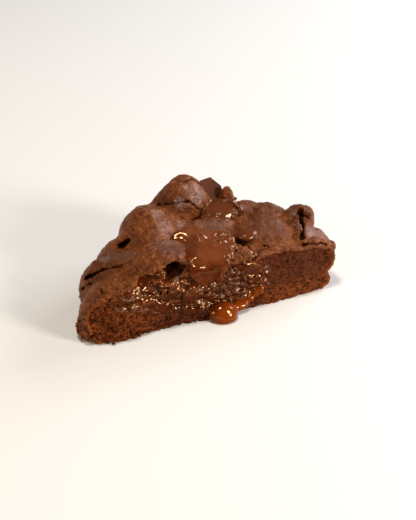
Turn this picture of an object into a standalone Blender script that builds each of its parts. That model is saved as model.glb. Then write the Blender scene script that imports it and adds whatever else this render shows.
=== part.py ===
"""One half of a thick, mounded chocolate cookie, broken across, with its salted caramel running out.

Metres, +Z up, for Blender 4.5. Places are first given in millimetres from the middle of the whole
cookie's foot: the break runs along X through y = 0, and the half that is kept lies towards +Y. An
empty then carries every piece to the final origin, the middle of the bounding box on the table.
"""

import math

import bmesh
import bpy
from mathutils import Matrix, Vector, noise

MM = 0.001

# Driving dimensions, in millimetres.
COOKIE_RADIUS = 49.5       # of the whole cookie, at its widest
COOKIE_THICKNESS = 22.0    # of the plain puck, before the lumps on top
WIDEST_HEIGHT = 8.0        # height at which the cookie is widest
FOOT_TUCK = 4.0            # how far the foot is drawn in under the widest place
SHOULDER = 19.0            # width of the rounded edge between side and top
ARC_STEPS = 6              # facets in each arc of the puck's side
PUCK_STEPS = 64            # facets round the puck
CLEARANCE = 0.3            # gap between a set-in piece and the dough round it

# Each soft piece is a set of ellipsoids melted into one skin: cell size of that skin in
# millimetres, rounds of smoothing, and the share of its triangles that is kept.
DOUGH_SKIN = (1.3, 2, 0.13)
CARAMEL_SKIN = (1.0, 3, 0.16)
CHOCOLATE_SKIN = (1.0, 2, 0.22)

# Lumps of dough on the puck: (middle), (half sizes).
DOUGH_LUMPS = (
    ((-15.5, 13.0, 11.0), (21.0, 20.0, 18.0)),   # large smooth dome at the left of the break
    ((-14.0, 31.0, 13.0), (16.5, 13.5, 16.5)),   # shoulder behind the dome
    ((3.0, 41.5, 26.0), (10.8, 9.8, 10.0)),      # ball at the back
    ((2.0, 42.0, 14.0), (13.0, 8.5, 13.0)),      # the side of the cookie under the ball
    ((-7.0, 37.0, 19.0), (12.0, 10.0, 10.5)),    # its left foot
    ((5.0, 23.0, 16.0), (14.0, 9.0, 12.0)),      # ridge behind the caramel pool
    ((15.0, 36.0, 14.0), (14.0, 12.0, 12.5)),    # seat of the chocolate chunk
    ((26.5, 17.0, 9.5), (19.0, 18.0, 17.0)),     # right dome
    ((31.0, 27.0, 11.0), (13.0, 12.0, 14.5)),    # its back
    ((44.0, 20.0, 20.5), (7.2, 7.5, 7.2)),       # knob at the right rim
    ((42.5, 19.0, 11.0), (8.0, 9.5, 11.0)),      # the side of the cookie under the knob
    ((43.0, 8.5, 11.5), (9.5, 11.0, 9.5)),       # flap sloping to the right tip
    ((12.0, 4.0, 17.0), (8.0, 8.0, 7.5)),        # small flap right of the caramel
    ((-31.5, 21.0, 8.5), (14.0, 13.0, 11.5)),    # left lobe
    ((-37.5, 8.0, 6.5), (12.5, 13.0, 13.5)),     # lower left lobe
    ((-45.5, 8.0, 3.6), (6.8, 8.0, 4.4)),        # rounded foot at the left end
    ((-24.0, 30.0, 10.0), (14.0, 12.0, 13.0)),   # back left
    ((39.0, 24.0, 8.0), (9.5, 9.5, 11.0)),       # back right
)

# The wall of the break leans back and waves a little, with a few wider hollows in it.
BREAK_LEAN = 0.11          # run back per unit of height
BREAK_WAVE = 1.3           # height of the waves
BREAK_WAVE_LENGTH = 11.0   # length of the waves
BREAK_CELL = 2.6           # size of the cells of the wall
BREAK_HOLLOWS = (          # (x, z), radius, depth
    ((-12.5, 19.0), 4.5, 4.5),
    ((9.0, 13.0), 8.0, 2.0),
    ((46.0, 0.0), 6.0, 3.5),
    ((-49.0, 0.0), 6.0, 3.5),
)

CARAMEL_LUMPS = (
    ((-3.0, 13.5, 12.5), (25.0, 13.0, 7.0)),     # the filling, inside the cookie
    ((-1.0, 12.0, 21.0), (9.5, 9.0, 5.5)),       # neck where it welled up
    ((-0.8, 12.0, 24.8), (11.4, 9.5, 3.0)),      # pool on top
    ((-1.5, 3.6, 19.5), (7.5, 4.2, 8.0)),        # run over the edge
    ((-8.0, 2.6, 10.5), (12.0, 3.4, 7.0)),       # spread on the wall
    ((-22.0, 2.8, 13.5), (9.5, 3.2, 7.5)),       # spread to the left
    ((-8.0, 1.2, 3.8), (15.0, 3.0, 3.6)),        # band along the foot
    ((2.5, -1.8, 3.0), (6.8, 4.4, 3.6)),         # drip on the table
    ((12.0, 0.8, 5.5), (9.0, 2.6, 2.6)),         # ribbon at the right, low end
    ((19.0, 1.8, 9.0), (5.0, 2.4, 2.4)),         # ribbon at the right, high end
)

# Melted chocolate that stands in hollows of the dough: node name, then its lumps.
MELTED_PIECES = {
    "melted_pool": (
        ((12.2, 26.4, 27.2), (7.4, 6.0, 2.8)),
        ((14.6, 30.6, 28.2), (6.0, 4.6, 2.6)),
    ),
    "melted_chip_right": (
        ((18.0, 11.6, 24.8), (4.4, 4.0, 3.0)),
    ),
    "melted_chip_left": (
        ((-29.4, 27.6, 19.8), (5.4, 4.4, 2.8)),
        ((-27.4, 23.8, 20.4), (3.8, 3.4, 2.4)),
    ),
    "melted_chip_rim": (
        ((39.6, 13.8, 20.6), (2.8, 3.6, 2.6)),
    ),
}

# The unmelted chunk: a broken corner of a chocolate slab, tilted where it was pressed in.
CHUNK_MIDDLE = (13.0, 37.0, 29.6)
CHUNK_SIZE = (12.0, 9.5, 11.5)
CHUNK_TILT = (20.0, -24.0, 20.0)   # degrees about X, Y and Z
CHUNK_TAPER = 0.68                 # width of its top against its foot
CHUNK_CHAMFER = 0.7

# The blocks that trim: one keeps the half behind the break, one cuts drips off at the table.
KEEP_WIDTH = 120.0
KEEP_DEPTH = 75.0
KEEP_HEIGHT = 60.0
TABLE_SIZE = (200.0, 200.0, 20.0)


def clear_scene():
    for old in list(bpy.data.objects):
        bpy.data.objects.remove(old, do_unlink=True)


def material(name, colour, roughness):
    """A Principled BSDF of one colour and roughness."""
    made = bpy.data.materials.new(name)
    made.use_nodes = True
    shader = made.node_tree.nodes["Principled BSDF"]
    shader.inputs["Base Color"].default_value = (*colour, 1.0)
    shader.inputs["Roughness"].default_value = roughness
    shader.inputs["Metallic"].default_value = 0.0
    return made


def place(name, shape, parent, finish=None):
    """Turns a bmesh into a smooth-shaded object under the carrying empty."""
    mesh = bpy.data.meshes.new(name)
    bmesh.ops.recalc_face_normals(shape, faces=shape.faces)
    shape.to_mesh(mesh)
    shape.free()
    mesh.shade_smooth()
    made = bpy.data.objects.new(name, mesh)
    made.parent = parent
    bpy.context.scene.collection.objects.link(made)
    if finish:
        mesh.materials.append(finish)
    return made


def as_cutter(made):
    made.hide_render = True
    made.display_type = "WIRE"
    return made


def add_lumps(shape, lumps):
    """Adds one ellipsoid to the shape for each lump."""
    for middle, half_sizes in lumps:
        size = Matrix.Diagonal(Vector(half_sizes) * MM).to_4x4()
        form = Matrix.Translation(Vector(middle) * MM) @ size
        bmesh.ops.create_icosphere(shape, subdivisions=4, radius=1.0, matrix=form)


def melt_together(made, skin):
    """Joins a piece's lumps into one skin, rounds the creases and thins out the triangles."""
    cell, rounds, share = skin
    remesh = made.modifiers.new("one skin", "REMESH")
    remesh.mode = "VOXEL"
    remesh.voxel_size = cell * MM
    remesh.use_smooth_shade = True
    smooth = made.modifiers.new("round creases", "SMOOTH")
    smooth.factor = 0.5
    smooth.iterations = rounds
    thin = made.modifiers.new("fewer triangles", "DECIMATE")
    thin.ratio = share


def cut(made, tool, operation):
    boolean = made.modifiers.new(f"{operation.lower()} {tool.name}", "BOOLEAN")
    boolean.solver = "EXACT"
    boolean.operation = operation
    boolean.object = tool


def puck_profile():
    """The whole cookie's side, from its foot's middle to its top's middle: (radius, height)."""
    foot = COOKIE_RADIUS - FOOT_TUCK
    rise = COOKIE_THICKNESS - WIDEST_HEIGHT
    turns = [math.radians(90.0) * step / ARC_STEPS for step in range(ARC_STEPS + 1)]
    # The foot starts below the table, so that the trimming block leaves a flat face there.
    points = [(0.0, -FOOT_TUCK), (foot, -FOOT_TUCK)]
    for turn in turns:
        points.append((foot + FOOT_TUCK * math.sin(turn), WIDEST_HEIGHT * (1.0 - math.cos(turn))))
    for turn in turns[1:]:
        radius = COOKIE_RADIUS - SHOULDER * (1.0 - math.cos(turn))
        points.append((radius, WIDEST_HEIGHT + rise * math.sin(turn)))
    points.append((0.0, COOKIE_THICKNESS))
    return points


def add_puck(shape):
    """Spins the profile into the plain round cookie under the lumps."""
    profile = [shape.verts.new((radius * MM, 0.0, height * MM)) for radius, height in puck_profile()]
    edges = [shape.edges.new(pair) for pair in zip(profile, profile[1:])]
    bmesh.ops.spin(
        shape, geom=profile + edges, axis=(0.0, 0.0, 1.0), cent=(0.0, 0.0, 0.0),
        angle=math.radians(360.0), steps=PUCK_STEPS, use_merge=True,
    )
    bmesh.ops.remove_doubles(shape, verts=shape.verts, dist=0.01 * MM)


def break_offset(x, z):
    """How far behind y = 0 the wall of the break stands, in millimetres."""
    waves = noise.noise(Vector((x, z, 0.0)) / BREAK_WAVE_LENGTH)
    offset = BREAK_LEAN * z + BREAK_WAVE * waves
    for (middle_x, middle_z), radius, depth in BREAK_HOLLOWS:
        away = math.hypot(x - middle_x, z - middle_z) / radius
        offset += depth * math.exp(-away * away)
    return offset


def kept_block():
    """The block that keeps the half: flat underneath, with the wall of the break in front."""
    shape = bmesh.new()
    columns = round(KEEP_WIDTH / BREAK_CELL)
    levels = round(KEEP_HEIGHT / BREAK_CELL)
    rows = []
    for level in range(levels + 1):
        z = KEEP_HEIGHT * level / levels
        across = [KEEP_WIDTH * (column / columns - 0.5) for column in range(columns + 1)]
        rows.append([shape.verts.new(Vector((x, break_offset(x, z), z)) * MM) for x in across])
    wall = [
        shape.faces.new((low[i], low[i + 1], high[i + 1], high[i]))
        for low, high in zip(rows, rows[1:])
        for i in range(columns)
    ]
    back = bmesh.ops.extrude_face_region(shape, geom=wall)
    for vert in back["geom"]:
        if isinstance(vert, bmesh.types.BMVert):
            vert.co.y = KEEP_DEPTH * MM
    return shape


def table_block():
    shape = bmesh.new()
    size = Matrix.Diagonal(Vector(TABLE_SIZE) * MM).to_4x4()
    form = Matrix.Translation((0.0, 0.0, -TABLE_SIZE[2] * MM / 2.0)) @ size
    bmesh.ops.create_cube(shape, size=1.0, matrix=form)
    return shape


def chunk_shape():
    """A tapered, chamfered block, turned as it lies in the dough."""
    shape = bmesh.new()
    bmesh.ops.create_cube(shape, size=1.0)
    for vert in shape.verts:
        taper = CHUNK_TAPER if vert.co.z > 0.0 else 1.0
        wide, deep, tall = CHUNK_SIZE
        vert.co = Vector((vert.co.x * wide * taper, vert.co.y * deep * taper, vert.co.z * tall)) * MM
    bmesh.ops.bevel(
        shape, geom=shape.edges[:], offset=CHUNK_CHAMFER * MM, segments=2, affect="EDGES", profile=0.5
    )
    tilt = Matrix.Identity(4)
    for degrees, axis in zip(CHUNK_TILT, "XYZ"):
        tilt = Matrix.Rotation(math.radians(degrees), 4, axis) @ tilt
    shape.transform(Matrix.Translation(Vector(CHUNK_MIDDLE) * MM) @ tilt)
    return shape


def pocket_for(made):
    """A cutter that is the piece itself, swollen by the clearance."""
    pocket = as_cutter(made.copy())
    pocket.name = f"{made.name}_pocket"
    bpy.context.scene.collection.objects.link(pocket)
    swell = pocket.modifiers.new("clearance", "DISPLACE")
    swell.strength = CLEARANCE * MM
    swell.mid_level = 0.0
    return pocket


def make_poured(name, lumps, finish, parent, skin):
    """A piece that was liquid once: its lumps in one skin."""
    shape = bmesh.new()
    add_lumps(shape, lumps)
    made = place(name, shape, parent, finish)
    melt_together(made, skin)
    return made


def make_cookie(finish, parent, keep, set_in):
    """The dough: the puck and its lumps, cut at the break, with a pocket for each set-in piece."""
    shape = bmesh.new()
    add_puck(shape)
    add_lumps(shape, DOUGH_LUMPS)
    cookie = place("cookie", shape, parent, finish)
    melt_together(cookie, DOUGH_SKIN)
    cut(cookie, keep, "INTERSECT")
    for made in set_in:
        cut(cookie, pocket_for(made), "DIFFERENCE")
    return cookie


def centre_on_box(frame, pieces):
    """Moves the carrying empty so that the pieces' box stands on the origin by its middle."""
    bpy.context.view_layer.update()
    graph = bpy.context.evaluated_depsgraph_get()
    corners = []
    for piece in pieces:
        final = piece.evaluated_get(graph)
        corners += [final.matrix_world @ vert.co for vert in final.data.vertices]
    low = [min(corner[i] for corner in corners) for i in range(3)]
    high = [max(corner[i] for corner in corners) for i in range(3)]
    frame.location = (-(low[0] + high[0]) / 2.0, -(low[1] + high[1]) / 2.0, -low[2])


def main():
    clear_scene()
    frame = bpy.data.objects.new("half_cookie", None)
    bpy.context.scene.collection.objects.link(frame)

    dough = material("chocolate_dough", (0.085, 0.030, 0.014), 0.55)
    caramel = material("salted_caramel", (0.24, 0.058, 0.006), 0.12)
    melted = material("melted_chocolate", (0.055, 0.020, 0.011), 0.22)
    solid = material("solid_chocolate", (0.048, 0.019, 0.012), 0.35)

    keep = as_cutter(place("kept_block", kept_block(), frame))
    table = as_cutter(place("table_block", table_block(), frame))

    filling = make_poured("caramel_filling", CARAMEL_LUMPS, caramel, frame, CARAMEL_SKIN)
    chunk = place("chocolate_chunk", chunk_shape(), frame, solid)
    chips = [
        make_poured(name, lumps, melted, frame, CHOCOLATE_SKIN)
        for name, lumps in MELTED_PIECES.items()
    ]
    cookie = make_cookie(dough, frame, keep, [filling, chunk, *chips])
    # Trimmed last, so that the dough's pockets keep the whole shapes.
    cut(filling, table, "DIFFERENCE")
    cut(chips[0], pocket_for(chunk), "DIFFERENCE")
    centre_on_box(frame, [cookie, filling, chunk, *chips])


main()
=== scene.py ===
import math

import bmesh
import bpy
import numpy as np
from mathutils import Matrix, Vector


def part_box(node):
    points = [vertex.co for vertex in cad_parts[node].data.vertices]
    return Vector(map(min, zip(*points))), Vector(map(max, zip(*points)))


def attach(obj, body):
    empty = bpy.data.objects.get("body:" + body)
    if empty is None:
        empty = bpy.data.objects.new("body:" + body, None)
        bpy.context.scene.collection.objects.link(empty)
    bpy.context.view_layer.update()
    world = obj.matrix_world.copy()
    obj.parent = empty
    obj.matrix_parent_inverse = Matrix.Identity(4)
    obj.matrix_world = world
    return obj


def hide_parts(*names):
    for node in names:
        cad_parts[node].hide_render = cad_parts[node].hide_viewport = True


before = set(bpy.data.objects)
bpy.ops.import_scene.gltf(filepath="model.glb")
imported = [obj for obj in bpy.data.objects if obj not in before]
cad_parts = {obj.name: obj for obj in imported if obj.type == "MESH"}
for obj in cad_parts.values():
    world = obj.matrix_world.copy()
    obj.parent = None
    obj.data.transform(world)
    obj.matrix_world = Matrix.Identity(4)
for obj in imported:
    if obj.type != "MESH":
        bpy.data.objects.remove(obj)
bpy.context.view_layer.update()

MM = 0.001


# ---- Camera -------------------------------------------------------------------------------------
# A stills camera on a tripod, above the table and a little to the left of the break, so that it
# sees the broken side and the top at once.

CAMERA_TURN = 22.5          # degrees round to the left of the break
CAMERA_RISE = 35.0          # degrees above the table
CAMERA_AWAY = 0.450
CAMERA_AIM = Vector((4.8, -2.6, 12.0)) * MM
FRAME_HEIGHT = 0.2          # of what the picture takes in at the aim
SENSOR_HEIGHT = 36.0


def set_out(name, data):
    """Puts a new object in the scene."""
    thing = bpy.data.objects.new(name, data)
    bpy.context.scene.collection.objects.link(thing)
    return thing


turn = math.radians(CAMERA_TURN)
rise = math.radians(CAMERA_RISE)
towards_camera = Vector((-math.sin(turn) * math.cos(rise), -math.cos(turn) * math.cos(rise), math.sin(rise)))
camera = set_out("camera", bpy.data.cameras.new("camera"))
camera.location = CAMERA_AIM + CAMERA_AWAY * towards_camera
camera.rotation_euler = (-towards_camera).to_track_quat("-Z", "Y").to_euler()
camera.data.sensor_fit = "VERTICAL"
camera.data.sensor_height = SENSOR_HEIGHT
camera.data.lens = SENSOR_HEIGHT * CAMERA_AWAY / FRAME_HEIGHT
camera.data.clip_start = 0.01
bpy.context.scene.camera = camera


# ---- Baked dough: its form ----------------------------------------------------------------------
# One mass of thick chocolate dough that slumped into lumps as it baked, then was broken across.
# Its form is a field: for any point, how far it lies outside (+) or inside (-) the dough, in
# millimetres. The baked skin and the crumb of the break are both skins of this one form.

PUCK_RADIUS = 49.5
PUCK_THICKNESS = 22.0
PUCK_WIDEST = 8.0           # height at which it is widest
PUCK_TUCK = 4.0             # how far the foot is drawn in
PUCK_SHOULDER = 19.0        # width of the rounded edge

dough_low, dough_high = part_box("cookie")
# The middle of the whole cookie's foot: the break runs through it along X.
BREAK_WAVES_OUT = 0.7 * MM
seat = Vector(((dough_low.x + dough_high.x) / 2.0, dough_low.y + BREAK_WAVES_OUT, 0.0))

# Lumps on the puck: middle, half sizes, and how softly each one melts into the rest.
DOUGH_LUMPS = (
    ((-17.0, 12.5, 11.0), (18.5, 19.5, 17.6), 1.6),   # large smooth dome left of the break
    ((-13.5, 32.5, 15.2), (15.0, 14.0, 17.0), 1.6),   # shoulder behind the dome
    ((-7.0, 37.0, 19.0), (12.0, 10.0, 10.0), 1.5),    # left foot of the ball
    ((2.0, 42.0, 14.0), (13.0, 8.5, 13.0), 2.5),      # the side under the ball
    ((3.0, 41.5, 25.6), (11.6, 10.0, 11.2), 0.8),     # ball at the back
    ((-2.0, 41.5, 22.5), (10.0, 9.0, 9.5), 1.5),      # its left slope
    ((5.0, 36.5, 27.0), (5.0, 5.5, 8.0), 1.0),        # its right cheek
    ((-5.0, 31.0, 20.5), (8.5, 6.5, 8.2), 1.2),       # torn end of the shoulder, under the ball
    ((5.0, 24.0, 15.0), (14.0, 8.5, 12.5), 1.5),      # ridge behind the caramel pool
    ((15.0, 36.0, 14.0), (14.0, 12.0, 12.5), 2.0),    # seat of the chocolate chunk
    ((12.0, 26.0, 17.0), (7.5, 5.0, 9.8), 1.5),       # rise between the melted pool and the caramel
    ((19.2, 36.6, 28.6), (2.6, 2.4, 4.2), 0.6),       # torn peak beside the chunk
    ((26.5, 17.0, 9.5), (17.5, 17.0, 17.0), 1.2),     # right dome
    ((31.0, 27.0, 11.8), (13.0, 12.0, 14.7), 1.5),    # its back
    ((20.5, 25.0, 20.0), (5.0, 5.5, 5.0), 0.8),       # rough lump between ridge and right dome
    ((24.2, 31.0, 22.5), (6.6, 5.5, 5.3), 0.8),       # rough lump behind it
    ((43.6, 20.0, 20.0), (6.6, 7.0, 7.8), 0.8),       # knob at the right rim
    ((39.5, 20.5, 18.5), (6.5, 6.0, 6.0), 1.0),       # its left slope
    ((42.5, 19.0, 11.0), (8.0, 9.5, 11.0), 2.0),      # the side under the knob
    ((40.5, 9.5, 11.5), (11.7, 12.5, 12.0), 1.0),     # flap sloping to the right tip
    ((44.6, 5.5, 16.2), (7.6, 6.5, 3.0), 0.6),        # the tip
    ((43.6, 3.5, 12.6), (8.5, 10.0, 6.6), 0.8),       # the end below the tip
    ((42.5, 4.0, 3.5), (7.6, 8.0, 4.5), 0.8),         # its foot, set back
    ((12.5, 6.0, 16.5), (8.6, 8.0, 8.0), 0.8),        # small flap right of the caramel
    ((-31.5, 21.0, 8.8), (14.8, 13.2, 12.6), 1.2),    # left lobe
    ((-37.5, 8.0, 6.5), (13.2, 13.0, 13.5), 0.8),     # lower left lobe
    ((-45.5, 8.0, 3.6), (6.8, 8.0, 4.4), 1.0),        # rounded foot at the left end
    ((-24.0, 30.0, 10.0), (14.0, 12.0, 13.0), 2.0),   # back left
    ((39.0, 24.0, 8.0), (9.5, 9.5, 11.0), 2.0),       # back right
)

# Holes between the lumps: middle, half sizes.
DOUGH_HOLES = (
    ((-28.2, 28.8, 22.3), (3.8, 2.0, 1.6)),           # trough beside the large dome
    ((-0.5, 30.4, 27.2), (2.4, 0.8, 1.0)),            # hollow under the ball
)

# Cracks in the baked skin: width, depth, the way they go in, and the line they follow.
DOWN = (0.0, 0.0, -1.0)
INTO_LEFT_SIDE = (0.55, 0.55, -0.63)
INTO_BREAK = (0.0, 0.9, -0.44)
CRACKS = (
    # On the left lobe: the gash, its thin end, a smaller gash, the slit by the trough, and a nick.
    (0.75, 2.8, INTO_LEFT_SIDE, ((-43.4, 22.6, 14.8), (-41.2, 19.9, 17.7), (-39.5, 19.1, 18.6),
                                 (-38.0, 18.8, 19.6))),
    (0.45, 0.8, INTO_LEFT_SIDE, ((-38.0, 18.8, 19.6), (-35.5, 17.6, 20.4), (-31.6, 16.7, 21.4),
                                 (-28.3, 14.8, 23.3))),
    (0.42, 1.0, INTO_LEFT_SIDE, ((-45.6, 21.4, 11.2), (-43.6, 19.2, 14.2), (-42.0, 17.8, 15.1))),
    (0.55, 2.2, INTO_LEFT_SIDE, ((-27.0, 30.4, 20.4), (-25.6, 30.6, 20.4), (-24.0, 30.4, 20.9),
                                 (-22.8, 29.6, 22.0))),
    (0.35, 0.6, INTO_LEFT_SIDE, ((-41.6, 8.5, 19.1), (-42.1, 5.9, 18.8))),
    # On the ball: over its top, and two at its foot.
    (0.65, 1.2, DOWN, ((1.2, 40.4, 36.4), (3.8, 40.2, 36.0), (6.4, 41.2, 35.8), (9.0, 40.2, 34.8),
                       (11.5, 39.0, 32.8))),
    (0.50, 0.7, INTO_BREAK, ((-10.0, 40.8, 28.0), (-4.4, 37.4, 29.6), (-0.6, 35.4, 30.4), (2.0, 33.6, 30.8))),
    (0.55, 0.9, INTO_BREAK, ((1.5, 33.8, 31.6), (4.0, 32.6, 29.6), (6.4, 31.6, 27.6))),
    # Round the small flap right of the caramel.
    (0.60, 2.0, DOWN, ((14.2, 16.0, 23.0), (15.3, 9.6, 24.4), (16.0, 5.4, 23.6), (16.2, 2.6, 21.0))),
    (0.55, 1.3, INTO_BREAK, ((16.6, 3.0, 21.2), (18.9, 3.2, 22.2), (21.0, 4.2, 23.6), (23.6, 4.0, 23.0))),
    # At the right end: under the tip, the crevice beside the knob, and under the knob.
    (0.55, 1.2, INTO_BREAK, ((37.0, 4.0, 20.6), (39.6, 3.4, 21.0), (42.0, 3.2, 20.0), (44.0, 3.0, 20.2),
                             (46.6, 2.8, 18.8))),
    (0.95, 2.8, DOWN, ((42.6, 18.0, 25.6), (41.8, 15.4, 24.2), (40.6, 12.4, 23.6), (39.2, 9.4, 23.2),
                       (38.2, 6.8, 22.8))),
    (0.45, 1.0, INTO_BREAK, ((41.0, 17.5, 26.0), (43.0, 15.8, 25.4), (45.0, 14.6, 24.2))),
)

# The wall of the break: how far behind the line of the break it stands.
WALL_LEAN = 0.11
WALL_TOP = 18.0             # above this height it leans back more and more
WALL_TOP_LEAN = 0.024
WALL_WAVE = 1.2
WALL_HOLLOWS = (            # (x, z), (radius along, radius up), depth
    ((-14.8, 22.7), (3.1, 2.2), 9.0),                 # cavity under the large dome
    ((-17.8, 20.6), (2.0, 1.6), 5.0),                 # its lower left corner
    ((9.0, 12.5), (9.0, 5.5), 1.8),                   # torn crumb right of the caramel
    ((-27.4, 21.8), (3.8, 3.4), 4.2),                 # torn corner between lobe and dome
    ((49.0, 6.4), (4.0, 0.9), 1.8),                   # notch over the foot at the right end
    ((-51.0, 0.0), (6.0, 5.0), 3.0),                  # foot rounded off at the left end
    ((-51.5, 12.5), (6.0, 5.5), 4.5),                 # side drawn back above that foot
    ((-46.2, 9.0), (2.6, 0.9), 1.6),                  # gap over the left foot
)

# How the baked skin is roughened: heights in millimetres.
SKIN_WAVES = 0.55
WRINKLES = 0.40
FINE_WAVES = 0.26
SKIN_GRAINS = 0.26
PIT_SHARE = 0.17            # how much of the skin is pitted
PIT_SHARE_VARIES = 0.14     # how much that changes from place to place
PIT_DEPTH = 2.2
PITS_FROM_BREAK = (2.5, 5.5)    # no pits this close to the break, all of them from here on
HOLE_RIM = 0.8              # how rounded the rim of a hole is
LEFT_FOOT_END = -47.0       # the crust is crumbly beyond this, at the left foot
LEFT_FOOT_TOP = 5.0

LATTICE_SIZE = 64
LATTICE_WRAP = LATTICE_SIZE - 1
# Random numbers at whole steps in space; every pattern below is read from them.
lattice = np.random.default_rng(11).random((LATTICE_SIZE,) * 3, dtype=np.float32)


def grain(x, y, z, size, turn=0):
    """Random patches of about that size in millimetres, from -1 to 1. Each turn is another pattern."""
    corners, shares = [], []
    for value, shift in zip((x, y, z), (0.37, 0.71, 0.53)):
        steps = np.asarray(value / size + 13.7 * shift * (turn + 1), dtype=np.float32)
        floor = np.floor(steps)
        share = steps - floor
        shares.append(share * share * (3.0 - 2.0 * share))
        corners.append(floor.astype(np.int32))
    total = 0.0
    for i in (0, 1):
        for j in (0, 1):
            for k in (0, 1):
                weight = 1.0
                for step, share in zip((i, j, k), shares):
                    weight = weight * (share if step else 1.0 - share)
                place = tuple((corner + step) & LATTICE_WRAP for corner, step in zip(corners, (i, j, k)))
                total = total + weight * lattice[place]
    return 2.0 * total - 1.0


def layered_grain(x, y, z, size, layers, turn=0):
    """Grain on grain: each layer is half the size and half the height of the one before."""
    total, height = 0.0, 1.0
    for layer in range(layers):
        # Each layer is turned a little, so that the patches don't line up.
        a, b, c = x + 0.6 * y, y - 0.6 * x + 0.3 * z, z + 0.35 * x
        total = total + height * grain(a, b, c, size * 1.2 / 2.0 ** layer, turn + 3 * layer)
        height *= 0.5
    return total


def clumps(x, y, z, size, turn):
    """Round grains of about that size, packed: 0 in the middle of a grain, near 1 between grains."""
    steps = [np.asarray(value / size + 5.3 * turn, dtype=np.float32) for value in (x, y, z)]
    corner = [np.floor(step - 0.5).astype(np.int32) for step in steps]
    nearest = np.float32(9.0)
    for i in (0, 1):
        for j in (0, 1):
            for k in (0, 1):
                cell = [at + shift for at, shift in zip(corner, (i, j, k))]
                apart = 0.0
                for axis in range(3):
                    place = (cell[0] + 21 * axis, cell[1] + 7 * turn, cell[2])
                    draw = lattice[tuple(at & LATTICE_WRAP for at in place)]
                    apart = apart + (steps[axis] - cell[axis] - 0.2 - 0.6 * draw) ** 2
                nearest = np.minimum(nearest, apart)
    return 1.25 * np.sqrt(nearest)


def ellipsoid(x, y, z, middle, half_sizes):
    """Distance to an ellipsoid's skin."""
    squares, slopes = 0.0, 1e-9
    for value, centre, half in zip((x, y, z), middle, half_sizes):
        part = (value - centre) / half
        squares = squares + part * part
        slopes = slopes + (part / half) ** 2
    near = np.sqrt(squares)
    return near * (near - 1.0) / np.sqrt(slopes)


def melt(a, b, soft):
    """The nearer of two forms, run together where they meet."""
    share = np.clip(0.5 + 0.5 * (b - a) / soft, 0.0, 1.0)
    return b + (a - b) * share - soft * share * (1.0 - share)


def carve(a, b, soft):
    """What two forms have in common, with a rounded edge."""
    return -melt(-a, -b, soft)


def step_between(low, high, value):
    """From 0 at low to 1 at high, smoothly."""
    share = np.clip((value - low) / (high - low), 0.0, 1.0)
    return share * share * (3.0 - 2.0 * share)


def from_line(x, y, z, into, points):
    """Distance to a line of points seen along one direction, and the full distance."""
    into = np.array(into) / np.linalg.norm(into)
    seen, full = np.inf, np.inf
    for start, end in zip(points, points[1:]):
        start, run = np.array(start), np.array(end) - np.array(start)
        gap = [value - at for value, at in zip((x, y, z), start)]
        flat_run = run - into * run.dot(into)
        along = sum(g * r for g, r in zip(gap, flat_run)) / max(flat_run.dot(flat_run), 1e-6)
        along = np.clip(along, 0.0, 1.0)
        gap = [g - along * r for g, r in zip(gap, run)]
        deep = sum(g * i for g, i in zip(gap, into))
        square = sum(g * g for g in gap)
        seen = np.minimum(seen, np.sqrt(np.maximum(square - deep * deep, 0.0)))
        full = np.minimum(full, np.sqrt(square))
    return seen, full


def puck(x, y, z):
    """The whole cookie without its lumps: a thick disc with a rounded edge and a tucked foot."""
    out = np.hypot(x, y)
    upper = np.clip((z - PUCK_WIDEST) / (PUCK_THICKNESS - PUCK_WIDEST), 0.0, None)
    shoulder = np.clip((out - PUCK_RADIUS + PUCK_SHOULDER) / PUCK_SHOULDER, 0.0, None)
    over = (np.hypot(upper, shoulder) - 1.0) * (PUCK_THICKNESS - PUCK_WIDEST)
    foot = np.clip(1.0 - z / PUCK_WIDEST, 0.0, 1.0)
    beside = out - PUCK_RADIUS + PUCK_TUCK * (1.0 - np.sqrt(1.0 - foot * foot))
    return np.where(z > PUCK_WIDEST, over, np.maximum(over, beside))


def whole_dough(x, y, z):
    """The unbroken dough, smooth."""
    warp = [grain(x, y, z, 13.0, turn=t) for t in (1, 2, 3)]
    x, y, z = x + warp[0], y + warp[1], z + 0.6 * warp[2]
    form = puck(x, y, z)
    for middle, half_sizes, soft in DOUGH_LUMPS:
        form = melt(form, ellipsoid(x, y, z, middle, half_sizes), soft)
    return form


def break_wall(x, z):
    """How far behind the line of the break its wall stands, without the crumb's own relief."""
    back = WALL_LEAN * z + WALL_TOP_LEAN * np.clip(z - WALL_TOP, 0.0, None) ** 2
    back = back + WALL_WAVE * grain(x, 0.0 * x, z, 10.0, turn=5)
    for (at_x, at_z), (along, up), depth in WALL_HOLLOWS:
        back = back + depth * np.exp(-((x - at_x) / along) ** 2 - ((z - at_z) / up) ** 2)
    return back


def left_foot(x, z, starts, ends):
    """The crumbly foot at the left end: 1 in it, 0 away from it."""
    return step_between(starts, LEFT_FOOT_END, x) * step_between(ends, LEFT_FOOT_TOP, z)


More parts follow.
